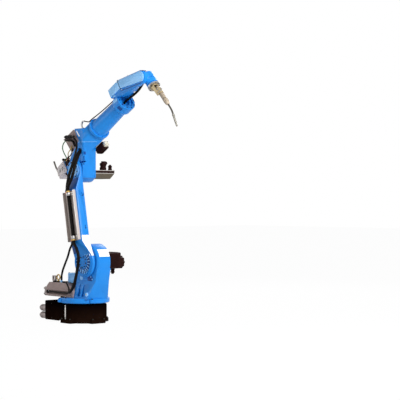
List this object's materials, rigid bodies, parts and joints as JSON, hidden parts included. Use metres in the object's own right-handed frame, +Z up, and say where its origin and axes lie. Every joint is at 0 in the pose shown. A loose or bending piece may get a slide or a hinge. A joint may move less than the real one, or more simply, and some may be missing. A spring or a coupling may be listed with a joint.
{
  "type": "six-axis welding robot arm",
  "caption": "Floor-standing jointed robot arm: round base, leaning lower arm, raised forearm tube with an offset wrist box and a bent welding torch.",
  "frame": {"origin": "where the swivel axis meets the floor, in the middle of the base's underside", "axes": "+X the way the robot faces, +Y its left (the shoulder and elbow motors' side), +Z up along the swivel axis"},
  "size_m": [1.6368, 0.4831, 2.0202],
  "materials": {
    "blue_paint": "glossy blue paint on iron and aluminium castings",
    "pale_blue_paint": "satin light blue paint",
    "black_paint": "satin black paint on the base",
    "motor_black": "satin black-brown motor paint",
    "cover_grey": "matt warm grey sheet",
    "plug_grey": "dull die-cast metal",
    "rubber_black": "matt black cable jacket",
    "bright_metal": "turned bright steel",
    "brass": "dull brass",
    "olive_dark": "dark olive paint"
  },
  "bodies": {
    "base": {"base_casting": "black_paint", "base_connection_box": "black_paint", "left_base_strip": "plug_grey", "right_base_strip": "plug_grey", "base_power_plug": "plug_grey", "base_signal_plug": "plug_grey"},
    "swivel": {"swivel_casting": "blue_paint", "shoulder_motor": "motor_black", "shoulder_motor_cap": "motor_black", "swivel_rear_cover": "cover_grey", "swivel_lower_plug": "plug_grey", "swivel_upper_plug": "plug_grey", "swivel_motor": "plug_grey", "deck_strip": "rubber_black", "cable_gland": "pale_blue_paint", "rear_cable_gland": "plug_grey", "lifting_eye": "brass", "square_frame": "plug_grey"},
    "lower_arm": {"lower_arm_casting": "blue_paint", "cable_tray": "cover_grey", "tray_conduit": "rubber_black", "lower_tray_clamp": "bright_metal", "upper_tray_clamp": "bright_metal", "upper_thin_cable": "rubber_black", "upper_thick_cable": "rubber_black", "lower_thin_cable": "rubber_black", "lower_thick_cable": "rubber_black"},
    "elbow": {"elbow_casting": "blue_paint", "elbow_motor": "olive_dark", "elbow_power_plug": "motor_black", "elbow_signal_plug": "motor_black", "roll_motor": "motor_black", "roll_motor_cap": "cover_grey", "elbow_bracket": "cover_grey", "bracket_plug": "rubber_black", "conduit_hook": "bright_metal", "wire_feeder": "plug_grey", "feeder_drive": "motor_black", "wire_inlet": "olive_dark", "forearm_conduit": "rubber_black"},
    "forearm": {"forearm_tube": "blue_paint", "front_arm_casting": "blue_paint", "rear_side_cover": "pale_blue_paint", "front_side_cover": "pale_blue_paint", "torch_cable": "rubber_black"},
    "wrist": {"wrist_casting": "blue_paint"},
    "tool": {"tool_flange": "bright_metal", "torch_bracket": "brass", "torch_grip": "plug_grey", "torch_neck": "olive_dark", "torch_nozzle": "plug_grey", "flange_cable": "rubber_black"}
  },
  "joints": [
    {"name": "swivel_turn", "type": "hinge", "parent": "base", "child": "swivel", "pos_m": [0, 0, 0.16], "axis": [0, 0, 1], "range_deg": [-180, 180]},
    {"name": "shoulder_lean", "type": "hinge", "parent": "swivel", "child": "lower_arm", "pos_m": [0.15, 0, 0.505], "axis": [0, 1, 0], "range_deg": [-60, 65], "deforming": ["lower_thin_cable", "lower_thick_cable"]},
    {"name": "elbow_lift", "type": "hinge", "parent": "lower_arm", "child": "elbow", "pos_m": [0.00498, 0, 1.25104], "axis": [0, -1, 0], "range_deg": [-85, 180], "deforming": ["upper_thin_cable", "upper_thick_cable"]},
    {"name": "forearm_roll", "type": "hinge", "parent": "elbow", "child": "forearm", "pos_m": [-0.09502, 0, 1.42424], "axis": [0.866, 0, 0.5], "range_deg": [-150, 150], "deforming": ["forearm_conduit"]},
    {"name": "wrist_bend", "type": "hinge", "parent": "forearm", "child": "wrist", "pos_m": [0.84202, 0, 1.96524], "axis": [0, 1, 0], "range_deg": [-121.5, 58.5], "deforming": ["torch_cable"]},
    {"name": "tool_turn", "type": "hinge", "parent": "wrist", "child": "tool", "pos_m": [0.84202, 0, 1.96524], "axis": [0.6884, 0, -0.7254], "range_deg": [-200, 200]}
  ]
}
